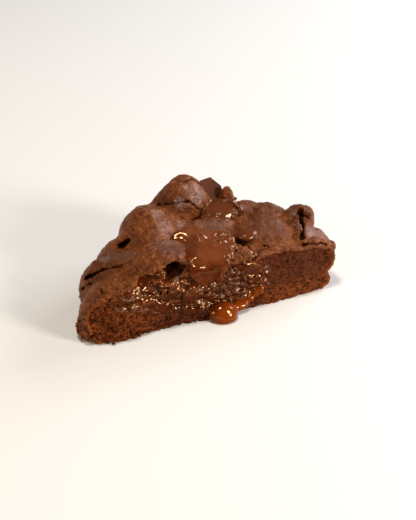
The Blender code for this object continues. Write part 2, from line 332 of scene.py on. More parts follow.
def baked_relief(x, y, z, form):
    """Holes, cracks, wrinkles and pits of the baked skin, added to the smooth form."""
    form = form + SKIN_WAVES * layered_grain(x, y, z, 7.0, 2, turn=8)
    smooth = form
    jag = 0.45 * grain(x, y, z, 2.1, turn=4) + 0.25 * grain(x, y, z, 0.9, turn=6)
    for middle, half_sizes in DOUGH_HOLES:
        form = carve(form, 2.0 * jag - ellipsoid(x, y, z, middle, half_sizes), HOLE_RIM)
    for width, depth, into, points in CRACKS:
        seen, full = from_line(x + jag, y + jag, z, into, points)
        groove = width * (1.0 + 0.8 * jag) * (1.0 + form / depth) - seen
        form = np.where(full < depth + 2.0, np.maximum(form, groove), form)
    wrinkle = 1.0 - np.abs(layered_grain(x, y, z, 3.4, 2, turn=12))
    form = form + WRINKLES * np.clip(wrinkle, 0.0, 1.0) ** 7
    form = form + FINE_WAVES * layered_grain(x, y, z, 1.8, 2, turn=15)
    form = form + SKIN_GRAINS * clumps(x, y, z, 1.3, turn=17)
    pit = PIT_SHARE + PIT_SHARE_VARIES * grain(x, y, z, 8.0, turn=18)
    pitted = PIT_DEPTH * np.clip(pit - clumps(x, y, z, 2.6, turn=2), 0.0, None)
    form = form + step_between(*PITS_FROM_BREAK, y) * pitted
    form = form + left_foot(x, z, -43.0, 9.0) * (1.1 * clumps(x, y, z, 1.9, turn=19) - 0.5)
    return form, form - smooth


# ---- Baked skin ---------------------------------------------------------------------------------
# The crust over the top, the sides and the underside. It stops inside the crumb of the break,
# which covers its front.

SKIN_CELL = 0.415
GLAZED = (                  # where the crust is shinier: middle, radius, how much
    ((-12.1, 29.4, 31.6), 2.8, 0.7), ((-11.4, 24.0, 28.5), 4.2, 0.45), ((-13.0, 18.0, 26.4), 4.8, 0.4),
    ((-4.5, 26.4, 26.5), 2.6, 0.5), ((5.0, 36.0, 35.0), 3.8, 0.9), ((5.8, 33.8, 32.5), 4.6, 1.0),
    ((-0.4, 34.5, 30.7), 2.2, 0.9), ((4.0, 23.0, 26.8), 3.2, 0.25), ((9.5, 20.5, 25.0), 3.4, 0.1),
    ((15.0, 23.2, 24.8), 2.6, 0.3), ((33.5, 15.5, 25.5), 3.6, 0.25), ((43.5, 8.5, 22.5), 5.0, 0.55),
    ((45.5, 5.0, 20.8), 3.2, 0.55), ((39.5, 18.5, 25.5), 2.0, 0.5), ((-34.6, 23.5, 20.3), 2.6, 0.8),
)
DARKER_AND_SHADED = (            # where it is darker, in the same way: painted shade on the left sides of the ball and the left lobe, darker crust elsewhere
    ((27.0, 14.0, 25.0), 9.0, 0.8), ((8.5, 23.0, 25.5), 6.0, 1.0), ((-36.0, 21.0, 17.5), 9.0, 1.0),
    ((30.0, 27.0, 25.5), 9.0, 0.8), ((-4.0, 38.0, 28.0), 8.0, 1.0), ((43.0, 17.5, 25.5), 6.0, 1.0),
    ((40.0, 11.0, 23.5), 4.0, 0.8),
)
NEAR_SKIN = 3.5             # relief is only worked out this close to the skin
BEHIND_WALL = 1.6           # where the skin piece stops, inside the crumb piece
WALL_PIECE = 3.4            # thickness of the crumb piece
UNDER_CRUMB = 0.10          # how far the skin stands back under the crumb piece's rim
TABLE_GAP = 0.02            # how far the skin and the caramel stay off the table
# A greyish patch on the large dome, seen from above: x, y. It is darker crust with a painted grey sheen.
STAIN_AND_SHEEN_MIDDLE = (-13.5, 11.5)
STAIN_AND_SHEEN_SIZE = (5.5, 6.5)
STAIN_AND_SHEEN_ABOVE = 18.0


def skin_of(name, field, corner, cell):
    """A closed mesh where the field crosses zero: one point per crossed cell of the grid."""
    inside = field < 0.0
    counts = np.array(field.shape)
    strides = np.array((counts[1] * counts[2], counts[2], 1))
    hits, squares = [], []
    for axis in range(3):
        low = tuple(slice(0, -1) if i == axis else slice(None) for i in range(3))
        high = tuple(slice(1, None) if i == axis else slice(None) for i in range(3))
        at = np.argwhere(inside[low] != inside[high])
        start = field[low][tuple(at.T)]
        end = field[high][tuple(at.T)]
        point = at.astype(np.float64)
        point[:, axis] += start / (start - end)
        u, v = np.eye(3, dtype=int)[(axis + 1) % 3], np.eye(3, dtype=int)[(axis + 2) % 3]
        ring = [at - u - v, at - v, at, at - u]
        cells = np.stack([cell_at @ strides for cell_at in ring], axis=1)
        leaving = start < 0.0
        squares.append(np.where(leaving[:, None], cells, cells[:, ::-1]))
        hits.append((np.repeat(point, 4, axis=0), cells.ravel()))
    points = np.concatenate([point for point, _ in hits])
    owners = np.concatenate([owner for _, owner in hits])
    used, index = np.unique(owners, return_inverse=True)
    number = np.bincount(index)
    middle = np.stack([np.bincount(index, points[:, i]) / number for i in range(3)], axis=1)
    place = (np.array(corner) + middle * cell) * MM + np.array(seat)
    faces = np.searchsorted(used, np.concatenate(squares))
    mesh = bpy.data.meshes.new(name)
    mesh.vertices.add(len(place))
    mesh.vertices.foreach_set("co", place.astype(np.float32).ravel())
    mesh.loops.add(faces.size)
    mesh.loops.foreach_set("vertex_index", faces.astype(np.int32).ravel())
    mesh.polygons.add(len(faces))
    mesh.polygons.foreach_set("loop_start", np.arange(0, faces.size, 4, dtype=np.int32))
    mesh.update(calc_edges=True)
    mesh.shade_smooth()
    return set_out(name, mesh)


def grid_over(low, high, cell):
    """Open grids of X, Y and Z, in millimetres from the seat, and their corner."""
    axes = [np.arange(a, b + cell, cell, dtype=np.float32) for a, b in zip(low, high)]
    return np.meshgrid(*axes, indexing="ij", sparse=True), tuple(low)


def grid_points(cells):
    """X, Y and Z of some points of the grid."""
    return gx[cells[0], 0, 0], gy[0, cells[1], 0], gz[0, 0, cells[2]]


def points_of(piece):
    """The piece's points in millimetres from the seat."""
    flat = np.empty(3 * len(piece.data.vertices), dtype=np.float32)
    piece.data.vertices.foreach_get("co", flat)
    return ((flat.reshape(-1, 3) - np.array(seat)) / MM).T


def mark(piece, name, values):
    """Writes one number for each point, to be read by its name."""
    layer = piece.data.attributes.new(name, "FLOAT", "POINT")
    layer.data.foreach_set("value", np.ascontiguousarray(values, dtype=np.float32))


(gx, gy, gz), corner = grid_over((-56.0, -1.0, -1.5), (56.0, 54.0, 38.5), SKIN_CELL)
field = whole_dough(gx, gy, gz).astype(np.float32)
near = np.nonzero(np.abs(field) < NEAR_SKIN)
field[near] = baked_relief(*grid_points(near), field[near])[0]
behind = gy - break_wall(gx, gz)
field = field + UNDER_CRUMB * (1.0 - step_between(WALL_PIECE, WALL_PIECE + 1.2, behind))
field = carve(field, BEHIND_WALL - behind, 0.5)
field = np.maximum(field, TABLE_GAP - gz)
baked_skin = skin_of("baked_skin", field, corner, SKIN_CELL)
# Its flat underside needs no grid of points.
under = bmesh.new()
under.from_mesh(baked_skin.data)
flat = [face for face in under.faces if face.calc_center_median().z < (TABLE_GAP + 0.01) * MM]
bmesh.ops.dissolve_faces(under, faces=flat)
bmesh.ops.triangulate(under, faces=[face for face in under.faces if len(face.verts) > 4])
under.to_mesh(baked_skin.data)
under.free()
place = points_of(baked_skin)
# Painted shade: the skin's cracks, pits and holes are coloured darker.
mark(baked_skin, "hollow_shade", step_between(0.35, 1.2, baked_relief(*place, whole_dough(*place))[1]))
from_stain_and_sheen = np.sqrt(((place[0] - STAIN_AND_SHEEN_MIDDLE[0]) / STAIN_AND_SHEEN_SIZE[0]) ** 2
                     + ((place[1] - STAIN_AND_SHEEN_MIDDLE[1]) / STAIN_AND_SHEEN_SIZE[1]) ** 2)
from_stain_and_sheen = from_stain_and_sheen + 0.35 * grain(*place, 3.0, turn=61)
mark(baked_skin, "stain_and_sheen", step_between(1.5, 0.5, from_stain_and_sheen) * (place[2] > STAIN_AND_SHEEN_ABOVE))
for name, spots in (("glazed", GLAZED), ("darker", DARKER_AND_SHADED)):
    most = np.zeros(len(baked_skin.data.vertices))
    for middle, radius, much in spots:
        apart = np.sqrt(sum((value - at) ** 2 for value, at in zip(place, middle)))
        apart = apart + 1.5 * grain(*place, 2.5, turn=62)
        most = np.maximum(most, much * step_between(1.25 * radius, 0.4 * radius, apart))
    mark(baked_skin, name, most)
for name in ("crumb", "pale"):
    mark(baked_skin, name, left_foot(place[0], place[2], -44.0, 8.0))


# ---- Salted caramel -----------------------------------------------------------------------------
# Soft caramel that filled the middle of the cookie. It stands as a pool in the hollow of the top,
# runs over the edge of the break as a tongue, soaks the torn crumb and drips on to the table.

CARAMEL_CELL = 0.33
SOAKED_DEPTH = 1.3          # how deep the coat reaches into the crumb, out of sight
CARAMEL_BODY = (
    ((-3.0, 16.0, 12.5), (24.0, 12.0, 6.5)),          # the filling itself
    ((0.0, 12.0, 20.5), (8.5, 8.0, 5.5)),             # neck up to the pool
    ((1.6, -1.0, 2.4), (5.6, 4.2, 4.2)),              # drip at the foot of the break
    ((2.8, -2.4, 1.3), (4.6, 3.6, 2.7)),
    ((8.4, 0.4, 2.4), (5.0, 2.2, 1.9)),
    ((-20.2, 4.0, 22.6), (1.6, 1.8, 1.5)),            # bead at the mouth of the cavity
)
CAVITY = ((-15.4, 4.0, 22.2), (4.1, 9.0, 2.9))      # the open hole under the dome
CRUMB_FACE = 0.35           # how far the crumb that it lies on stands behind the wall's line
FLOW_LEVEL = 26.6           # height of the pool
FLOW_FALL = 0.10            # how much it falls to the right, per millimetre
FLOW_RIDGE = ((-7.5, 3.0), (-5.0, 6.1), (-3.0, 11.2), (-0.3, 16.9), (-3.2, 19.8), (-6.5, 21.5))  # x, y
FLOW_LEFT_FALL = 0.30       # left of that ridge it slopes down to the dome
FLOW_THICKNESS = 1.5        # in front of the break
FLOW_ROUNDING = 7.0         # where it turns over the edge of the break
POOL_OUTLINE = (            # x, y
    (-12.0, 8.0), (-12.0, 16.0), (-9.4, 22.0), (-6.0, 24.0), (-1.0, 22.5), (7.0, 20.0), (10.8, 17.6),
    (12.4, 13.0), (11.2, 8.6), (8.8, 5.0), (5.6, 2.4), (0.0, 0.0), (-7.0, 1.0), (-9.6, 3.6), (-11.0, 5.0),
)
TONGUE_OUTLINE = (          # x, z
    (-8.2, 30.0), (-8.3, 23.0), (-8.8, 18.3), (-7.6, 16.0), (-4.9, 14.9), (-2.1, 15.0), (-0.3, 16.0),
    (2.3, 17.2), (4.5, 19.4), (6.0, 22.7), (8.0, 30.0),
)
# Small bubbles and lumps under the skin of the caramel: middle, radius.
FROTH = (
    ((8.5, 13.0, 25.5), 5.5), ((6.5, 4.0, 22.0), 3.6), ((-0.5, 15.5, 26.6), 3.0), ((9.5, 7.5, 24.6), 3.6),
    ((-8.6, 4.0, 25.0), 2.4), ((2.6, 1.0, 17.5), 3.0), ((-20.0, 4.0, 23.6), 2.6),
)
# Where caramel lies on the break in a sheet: how thick, and its outline as (x, z).
CARAMEL_SHEETS = (
    (0.25, ((-28.6, 21.5), (-27.2, 22.6), (-25.6, 22.6), (-24.5, 20.0), (-25.0, 17.2), (-28.0, 17.6))),
    (0.40, ((-30.0, 14.4), (-25.3, 14.0), (-21.8, 12.0), (-18.0, 10.2), (-13.2, 8.0), (-8.4, 6.6),
            (-2.0, 5.4), (-2.0, 1.2), (-8.0, 1.8), (-12.3, 3.6), (-20.0, 7.2), (-25.5, 9.8), (-30.0, 12.0))),
    (0.9, ((-13.8, 10.4), (-12.6, 14.2), (-9.8, 15.4), (-6.4, 13.6), (-6.4, 10.4), (-9.9, 8.8))),
    (0.5, ((9.4, 19.6), (13.2, 20.4), (17.3, 19.7), (19.8, 17.2), (19.0, 14.3), (15.4, 13.4), (11.4, 15.4))),
    (1.0, ((7.0, 2.2), (9.0, 4.2), (12.4, 5.0), (16.0, 6.4), (18.0, 8.8), (20.2, 9.6), (20.2, 7.0),
           (17.4, 3.8), (13.3, 1.8), (8.0, 0.6))),
)
NO_SHEET = -0.9             # what counts as the thickness where there is none


def inside_outline(u, v, points):
    """Distance to a closed outline in a plane, negative inside it."""
    nearest, winding = np.inf, 0
    for (u0, v0), (u1, v1) in zip(points, points[1:] + points[:1]):
        run = np.array((u1 - u0, v1 - v0))
        along = np.clip(((u - u0) * run[0] + (v - v0) * run[1]) / run.dot(run), 0.0, 1.0)
        nearest = np.minimum(nearest, (u - u0 - along * run[0]) ** 2 + (v - v0 - along * run[1]) ** 2)
        crosses = (v0 > v) != (v1 > v)
        side = (u1 - u0) * (v - v0) / (v1 - v0 + 1e-9) + u0
        winding = winding + (crosses & (u < side))
    return np.where(winding % 2 == 1, -1.0, 1.0) * np.sqrt(nearest)


def frothy(x, y, z):
    """Bubbles and small lumps under the skin of the caramel, near the places in FROTH."""
    rise = 0.0
    for middle, radius in FROTH:
        apart = np.sqrt((x - middle[0]) ** 2 + (y - middle[1]) ** 2 + (z - middle[2]) ** 2)
        rise = np.maximum(rise, step_between(radius, 0.55 * radius, apart))
    bubbles = np.clip(0.80 - clumps(x, y, z, 2.4, turn=50), 0.0, None)
    return rise * (1.6 * bubbles + 0.8 * layered_grain(x, y, z, 2.2, 2, turn=55))


def sheet_on_break(x, z):
    """Thickness of the sheets of caramel over the crumb; negative where there is none."""
    jag = 0.9 * grain(x, 0.0 * x, z, 3.0, turn=41) + 0.6 * grain(x, 0.0 * x, z, 1.3, turn=47)
    thickness = NO_SHEET
    for thick, points in CARAMEL_SHEETS:
        away = inside_outline(x, z, points) + jag
        mound = (thick - NO_SHEET) * (1.0 - np.exp(np.clip(away - 0.5, None, 0.0) / 0.7)) + NO_SHEET
        thickness = np.maximum(thickness, mound)
    bubbles = np.clip(0.7 - clumps(x, 0.0 * x, z, 2.1, turn=56), 0.0, None)
    uneven = 0.5 * bubbles + 0.5 * layered_grain(x, 0.0 * x, z, 2.6, 2, turn=42)
    return thickness + uneven * step_between(-0.85, -0.1, thickness)


def caramel(x, y, z):
    """The caramel's form: the filling, the pool with its tongue, the drip and the sheets."""
    wall = break_wall(x, z) + CRUMB_FACE
    dough = carve(whole_dough(x, y, z), wall - y, 1.4)
    form = ellipsoid(x, y, z, *CARAMEL_BODY[0])
    for body in CARAMEL_BODY[1:]:
        form = melt(form, ellipsoid(x, y, z, *body), 1.2)
    form = form + 0.12 * grain(x, y, z, 2.6, turn=48)
    # The pool, and the tongue that runs from it over the edge.
    ridge_x, ridge_y = zip(*FLOW_RIDGE)
    left = np.clip(np.interp(np.ravel(y), ridge_y, ridge_x).reshape(y.shape) - x, 0.0, None)
    level = FLOW_LEVEL - FLOW_FALL * np.clip(x + 1.0, 0.0, None) - FLOW_LEFT_FALL * left
    level = level + 0.55 * layered_grain(x, y, z, 4.6, 2, turn=43)
    level = level + 0.5 * np.exp(-np.clip(dough, 0.0, None) / 0.6)
    front = wall - FLOW_THICKNESS + 0.45 * layered_grain(x, y, z, 4.0, 2, turn=49)
    flow = carve(z - level, front - y, FLOW_ROUNDING)
    on_top = carve(inside_outline(x, y, POOL_OUTLINE), 21.0 - z, 0.5)
    on_front = carve(inside_outline(x, z, TONGUE_OUTLINE), y - 9.0, 0.5)
    edge = 0.9 * grain(x, y, z, 4.0, turn=44) + 0.4 * grain(x, y, z, 1.6, turn=57)
    flow = carve(flow, melt(on_top, on_front, 2.5) + edge, 1.3)
    # Sheets on the crumb.
    sheets = carve(dough - sheet_on_break(x, z), y - 10.0, 0.5)
    form = melt(melt(form, flow, 1.5), sheets, 0.6) - frothy(x, y, z)
    form = np.maximum(form, -ellipsoid(x, y, z, *CAVITY))
    form = np.maximum(form, -dough - SOAKED_DEPTH - 30.0 * step_between(8.0, 12.0, y))
    return form + 0.04 * grain(x, y, z, 1.4, turn=45)


(gx, gy, gz), corner = grid_over((-33.0, -8.0, -0.6), (24.0, 27.0, 30.5), CARAMEL_CELL)
field = np.maximum(caramel(gx, gy, gz), TABLE_GAP - gz)
filling = skin_of("caramel", field.astype(np.float32), corner, CARAMEL_CELL)
place = points_of(filling)
# Painted glow: the drip and the ribbon that runs from it are coloured brighter orange, as if light shone
# through them.
ribbon = np.clip((place[0] - 2.0) / 17.0, 0.0, 1.0)
from_ribbon = np.hypot(place[0] - 2.0 - 17.0 * ribbon, place[2] - 1.5 - 6.0 * ribbon)
mark(filling, "drip", step_between(6.0, 3.5, from_ribbon))
in_cavity = step_between(1.6, 0.5, ellipsoid(*place, *CAVITY))
in_cavity = in_cavity * step_between(24.5, 23.5, place[2] - 0.5 * (place[0] + 12.0))
low_band = 0.4 * step_between(13.0, 11.0, place[2]) * step_between(-2.0, -5.0, place[0])
mark(filling, "shade", np.maximum(in_cavity, low_band))
# The pool is coloured paler and greyer than the rest: a painted reflection of the pale room over the
# caramel's own uneven tone.
mark(filling, "pool", step_between(21.0, 25.0, place[2]) * step_between(-8.5, -3.5, place[0]))


def mix_of(tree, kind, share, a, b):
    """Something between a and b; each of the three is a value or a socket."""
    mix = tree.nodes.new("ShaderNodeMix")
    mix.data_type = kind
    sockets = [one for one in mix.inputs if one.enabled]
    for value, socket in zip((share, a, b), sockets):
        if isinstance(value, bpy.types.NodeSocket):
            tree.links.new(value, socket)
        else:
            socket.default_value = value
    return [one for one in mix.outputs if one.enabled][0]


def mixed(tree, share, a, b):
    """A colour between a and b; each is a colour or a socket."""
    return mix_of(tree, "RGBA", share, a, b)


def mixed_number(tree, share, a, b):
    """A number between a and b; each is a number or a socket."""
    return mix_of(tree, "FLOAT", share, a, b)


def spread(tree, value, low, high, to_low, to_high):
    """A number taken from one range to another."""
    node = tree.nodes.new("ShaderNodeMapRange")
    node.interpolation_type = "SMOOTHSTEP"
    for name, bound in (("From Min", low), ("From Max", high), ("To Min", to_low), ("To Max", to_high)):
        node.inputs[name].default_value = bound
    tree.links.new(value, node.inputs["Value"])
    return node.outputs["Result"]


def marked(tree, name):
    """The numbers that mark() wrote."""
    node = tree.nodes.new("ShaderNodeAttribute")
    node.attribute_name = name
    return node.outputs["Fac"]


def new_finish(name):
    """A material, its node tree and its shader."""
    finish = bpy.data.materials.new(name)
    finish.use_nodes = True
    return finish, finish.node_tree, finish.node_tree.nodes["Principled BSDF"]


CARAMEL_THICK = (0.062, 0.008, 0.0003, 1.0)
CARAMEL_THIN = (0.108, 0.017, 0.0005, 1.0)
DRIP_GLOW_COLOUR = (0.190, 0.030, 0.0004, 1.0)
POOL_THICK_WITH_REFLECTION = (0.128, 0.030, 0.008, 1.0)
POOL_THIN_WITH_REFLECTION = (0.152, 0.041, 0.013, 1.0)
SHADED_COLOUR = (0.012, 0.0025, 0.0005, 1.0)

amber, tree, shader = new_finish("salted_caramel")
shader.inputs["Roughness"].default_value = 0.10
shader.inputs["Specular Tint"].default_value = (1.0, 0.74, 0.42, 1.0)
at = tree.nodes.new("ShaderNodeTexCoord")
thick = tree.nodes.new("ShaderNodeTexNoise")
thick.inputs["Scale"].default_value = 210.0
thick.inputs["Detail"].default_value = 3.0
tree.links.new(at.outputs["Object"], thick.inputs["Vector"])
thin = spread(tree, thick.outputs["Fac"], 0.38, 0.62, 0.0, 1.0)
colour = mixed(tree, thin, CARAMEL_THICK, CARAMEL_THIN)
# Painted glow on the drip and the ribbon.
colour = mixed(tree, marked(tree, "drip"), colour, DRIP_GLOW_COLOUR)
# Painted reflection of the room on the pool.
colour = mixed(tree, marked(tree, "pool"), colour, mixed(tree, thin, POOL_THICK_WITH_REFLECTION, POOL_THIN_WITH_REFLECTION))
colour = mixed(tree, marked(tree, "shade"), colour, SHADED_COLOUR)
tree.links.new(colour, shader.inputs["Base Color"])
# Caramel lies thicker, and so looks glossier, where it faces up.
facing = tree.nodes.new("ShaderNodeSeparateXYZ")
tree.links.new(at.outputs["Normal"], facing.inputs[0])
gloss = spread(tree, facing.outputs["Z"], 0.05, 0.45, 0.13, 0.70)
tree.links.new(mixed_number(tree, marked(tree, "shade"), gloss, 0.0), shader.inputs["Specular IOR Level"])
filling.data.materials.append(amber)
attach(filling, "root")
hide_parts("caramel_filling")


# ---- Crumb of the break -------------------------------------------------------------------------
# The torn inside of the dough, with the edge of the crust round it: short, dense crumb at the
# ends and open, sticky crumb in the middle.

CRUMB_CELL = 0.3
CRUST_THICKNESS = 1.0
CRUMB_SET_BACK = 0.5        # behind the edge of the crust
# The crumb that is soaked with caramel, as (x, z).
SOAKED_OUTLINE = (
    (-30.0, 23.5), (-31.5, 16.2), (-39.5, 15.8), (-38.5, 13.4), (-28.5, 11.6), (-14.0, 5.6), (4.0, 4.6),
    (17.0, 6.4), (21.5, 9.6), (21.0, 17.0), (12.0, 20.5), (2.0, 15.0), (-9.0, 14.0), (-11.0, 22.0),
    (-19.0, 26.6), (-27.0, 26.0),
)


def soaked(x, y, z):
    """How much caramel has soaked into the crumb: 1 around the filling, 0 at the ends of the break."""
    away = inside_outline(x, z, SOAKED_OUTLINE) + 1.6 * grain(x, y, z, 3.0, turn=46)
    drier = 0.7 * np.exp(-((x - 5.0) / 8.0) ** 2 - ((z - 10.5) / 4.0) ** 2)
    return step_between(2.2, -1.0, away) * (1.0 - drier)


def crumb_relief(x, y, z):
    """How far the crumb stands back from its mean wall."""
    loose = step_between(14.0, -12.0, x)
    wet = soaked(x, y, z)
    relief = (0.22 + 0.38 * loose) * torn_layers(x / 1.5, y, z, 2.8, turn=21)
    lumps = 0.35 + 0.65 * loose
    relief = relief + (lumps + wet * (1.4 - lumps)) * (clumps(x / 1.2, y, z, 2.5, turn=25) - 0.6)
    relief = relief + (0.5 + 0.25 * loose - 0.2 * wet) * (clumps(x / 1.2, y, z * 1.1, 1.15, turn=22) - 0.6)
    relief = relief + 0.15 * (1.0 - wet) * grain(x / 1.8, y, z, 0.7, turn=23)
    pores = np.clip(0.30 + 0.12 * wet - clumps(x / 1.4, y, z, 2.3, turn=24), 0.0, None)
    return relief + (2.0 + 2.5 * wet) * pores


def torn_layers(x, y, z, size, turn):
    """Broken layers: flat patches with steep edges, from -1 to 1."""
    height = 3.0 * layered_grain(x, y, z, size, 2, turn)
    step = np.floor(height)
    return (step + step_between(0.55, 1.0, height - step)) / 3.0


def torn_dough(x, y, z):
    """The dough with its break: the field, how deep each point lies under the baked skin, and the painted
    shade of its recesses.
    """
    form, skin_recess = baked_relief(x, y, z, whole_dough(x, y, z))
    inner = step_between(0.4 * CRUST_THICKNESS, 1.4 * CRUST_THICKNESS, -form)
    recess = crumb_relief(x, y, z)
    rim = 0.25 * grain(x, y, z, 2.2, turn=31) + 0.3 * grain(x, y, z, 0.9, turn=32)
    back = break_wall(x, z) + rim + inner * (CRUMB_SET_BACK + recess)
    # Painted shade: the recesses of the skin and of the crumb.
    hollow_shade = (1.0 - inner) * step_between(0.2, 1.4, skin_recess) + inner * step_between(-0.1, 1.3, recess)
    return carve(form, back - y, 0.25), inner, hollow_shade


(gx, gy, gz), corner = grid_over((-56.0, -4.0, -1.2), (54.0, 14.0, 31.0), CRUMB_CELL)
behind = gy - break_wall(gx, gz)
dough = whole_dough(gx, gy, gz)
field = np.where(behind < 0.0, -behind, dough).astype(np.float32)
near = np.nonzero((np.abs(behind) < WALL_PIECE + 1.0) & (dough < 2.0))
field[near] = torn_dough(*grid_points(near))[0]
back_waves = 0.5 * grain(gx, gy, gz, 3.0, turn=33)
field = np.maximum(field, behind - WALL_PIECE + back_waves)
field = np.maximum(field, -gz)
torn_crumb = skin_of("torn_crumb", field, corner, CRUMB_CELL)
place = points_of(torn_crumb)
torn = torn_dough(*place)
mark(torn_crumb, "crumb", torn[1])
in_cavity = step_between(1.5, -1.5, ellipsoid(*place, *CAVITY))
# Painted shade in the crumb's recesses and in the open cavity under the dome.
mark(torn_crumb, "hollow_shade", np.maximum(torn[2], in_cavity))
mark(torn_crumb, "wet", soaked(*place) * torn[1] * (1.0 - in_cavity))
low_right = step_between(11.0, 3.0, place[2]) * step_between(16.0, 24.0, place[0])
mark(torn_crumb, "pale", np.maximum(low_right, step_between(-18.0, -28.0, place[0])))
mark(torn_crumb, "edge", step_between(0.10, 0.4, torn[1]) * step_between(1.0, 0.8, torn[1]))

fine = bpy.data.node_groups.new("fine_grain", "ShaderNodeTree")
for name, way, kind in (("Grain size (mm)", "INPUT", "Float"), ("Patch size (mm)", "INPUT", "Float"),
                        ("Squeeze", "INPUT", "Vector"), ("Grain", "OUTPUT", "Float"),
                        ("Patches", "OUTPUT", "Float")):
    fine.interface.new_socket(name, in_out=way, socket_type="NodeSocket" + kind)
asks = fine.nodes.new("NodeGroupInput")
gives = fine.nodes.new("NodeGroupOutput")
spot = fine.nodes.new("ShaderNodeTexCoord")
squeezed = fine.nodes.new("ShaderNodeVectorMath")
squeezed.operation = "MULTIPLY"
fine.links.new(spot.outputs["Object"], squeezed.inputs[0])
fine.links.new(asks.outputs["Squeeze"], squeezed.inputs[1])
for name, size, detail in (("Grain", "Grain size (mm)", 3.0), ("Patches", "Patch size (mm)", 4.0)):
    per_metre = fine.nodes.new("ShaderNodeMath")
    per_metre.operation = "DIVIDE"
    per_metre.inputs[0].default_value = 1000.0
    noise = fine.nodes.new("ShaderNodeTexNoise")
    noise.inputs["Detail"].default_value = detail
    noise.inputs["Roughness"].default_value = 0.62
    fine.links.new(asks.outputs[size], per_metre.inputs[1])
    fine.links.new(per_metre.outputs[0], noise.inputs["Scale"])
    fine.links.new(squeezed.outputs[0], noise.inputs["Vector"])
    fine.links.new(noise.outputs["Fac"], gives.inputs[name])


def grained(tree, grain_size, patch_size, squeeze=(1.0, 1.0, 1.0)):
    """Places the grain in a material: its grains and its larger patches."""
    node = tree.nodes.new("ShaderNodeGroup")
    node.node_tree = fine
    node.inputs["Grain size (mm)"].default_value = grain_size
    node.inputs["Patch size (mm)"].default_value = patch_size
    node.inputs["Squeeze"].default_value = squeeze
    return node.outputs["Grain"], node.outputs["Patches"]


def roughened(tree, height, strength, distance):
    """The normal of a surface that stands up by that height."""
    bump = tree.nodes.new("ShaderNodeBump")
    bump.inputs["Strength"].default_value = strength
    bump.inputs["Distance"].default_value = distance
    tree.links.new(height, bump.inputs["Height"])
    return bump.outputs["Normal"]


CRUST_COLOUR = (0.290, 0.080, 0.016, 1.0)
CRUST_DARK = (0.078, 0.018, 0.003, 1.0)
CRUST_PALE = (0.420, 0.140, 0.045, 1.0)
CRUST_STAIN_AND_SHEEN = (0.100, 0.036, 0.024, 1.0)
PAINTED_SPARKLE_COLOUR = (0.480, 0.300, 0.260, 1.0)    # painted sparkle: pale specks in place of glints, where it is glazed
CRUST_EDGE = (0.300, 0.082, 0.015, 1.0)     # where the crust is broken through
CRUMB_COLOUR = (0.122, 0.029, 0.008, 1.0)
CRUMB_DARK = (0.050, 0.012, 0.003, 1.0)
CRUMB_PALE = (0.230, 0.053, 0.010, 1.0)      # low down at the right
SOAKED_COLOUR = (0.165, 0.032, 0.002, 1.0)
SOAKED_DARK = (0.048, 0.009, 0.001, 1.0)
PAINTED_HOLLOW_SHADE = (0.030, 0.005, 0.001, 1.0)
CRUST_GLINT = (1.0, 0.90, 0.88, 1.0)
WET_GLINT = (1.0, 0.78, 0.48, 1.0)

dough_finish, tree, shader = new_finish("chocolate_dough")
crust_grain, crust_patches = grained(tree, 0.6, 6.0)
coarse_grain, _ = grained(tree, 1.6, 2.4)
crumb_grain, crumb_patches = grained(tree, 0.65, 3.0, squeeze=(0.38, 1.0, 1.0))
crust = mixed(tree, spread(tree, crust_patches, 0.35, 0.65, 0.45, 0.0), CRUST_COLOUR, CRUST_DARK)
crust = mixed(tree, spread(tree, crust_grain, 0.34, 0.62, 0.95, 0.0), crust, CRUST_DARK)
crust = mixed(tree, spread(tree, coarse_grain, 0.36, 0.50, 0.55, 0.0), crust, CRUST_DARK)
crust = mixed(tree, spread(tree, coarse_grain, 0.52, 0.68, 0.0, 0.35), crust, CRUST_PALE)
# Darker where listed: painted shade on the left sides of the ball and the left lobe, darker crust elsewhere.
crust = mixed(tree, spread(tree, marked(tree, "darker"), 0.0, 1.0, 0.0, 0.62), crust, CRUST_DARK)
# Painted sparkle: pale specks where the crust is glazed, standing in for glints.
painted_sparkle = mixed_number(tree, marked(tree, "glazed"), 0.0, spread(tree, crust_grain, 0.56, 0.68, 0.0, 0.7))
crust = mixed(tree, painted_sparkle, crust, PAINTED_SPARKLE_COLOUR)
# Darker crust with a painted grey sheen on the large dome.
crust = mixed(tree, spread(tree, marked(tree, "stain_and_sheen"), 0.0, 1.0, 0.0, 0.6), crust, CRUST_STAIN_AND_SHEEN)
dry = mixed(tree, marked(tree, "pale"), CRUMB_COLOUR, CRUMB_PALE)
dry = mixed(tree, spread(tree, crumb_grain, 0.36, 0.62, 0.0, 1.0), CRUMB_DARK, dry)
# Caramel stays on the ledges of the crumb, which face up.
at = tree.nodes.new("ShaderNodeTexCoord")
facing = tree.nodes.new("ShaderNodeSeparateXYZ")
tree.links.new(at.outputs["Normal"], facing.inputs[0])
wet = mixed(tree, spread(tree, facing.outputs["Z"], -0.1, 0.5, 0.0, 1.0), SOAKED_DARK, SOAKED_COLOUR)
wet = mixed(tree, spread(tree, crumb_patches, 0.42, 0.60, 0.5, 0.0), wet, SOAKED_DARK)
wet_gloss = spread(tree, facing.outputs["Z"], 0.1, 0.5, 0.08, 1.3)
crumb = mixed(tree, marked(tree, "wet"), dry, wet)
colour = mixed(tree, marked(tree, "crumb"), crust, crumb)
colour = mixed(tree, marked(tree, "edge"), colour, CRUST_EDGE)
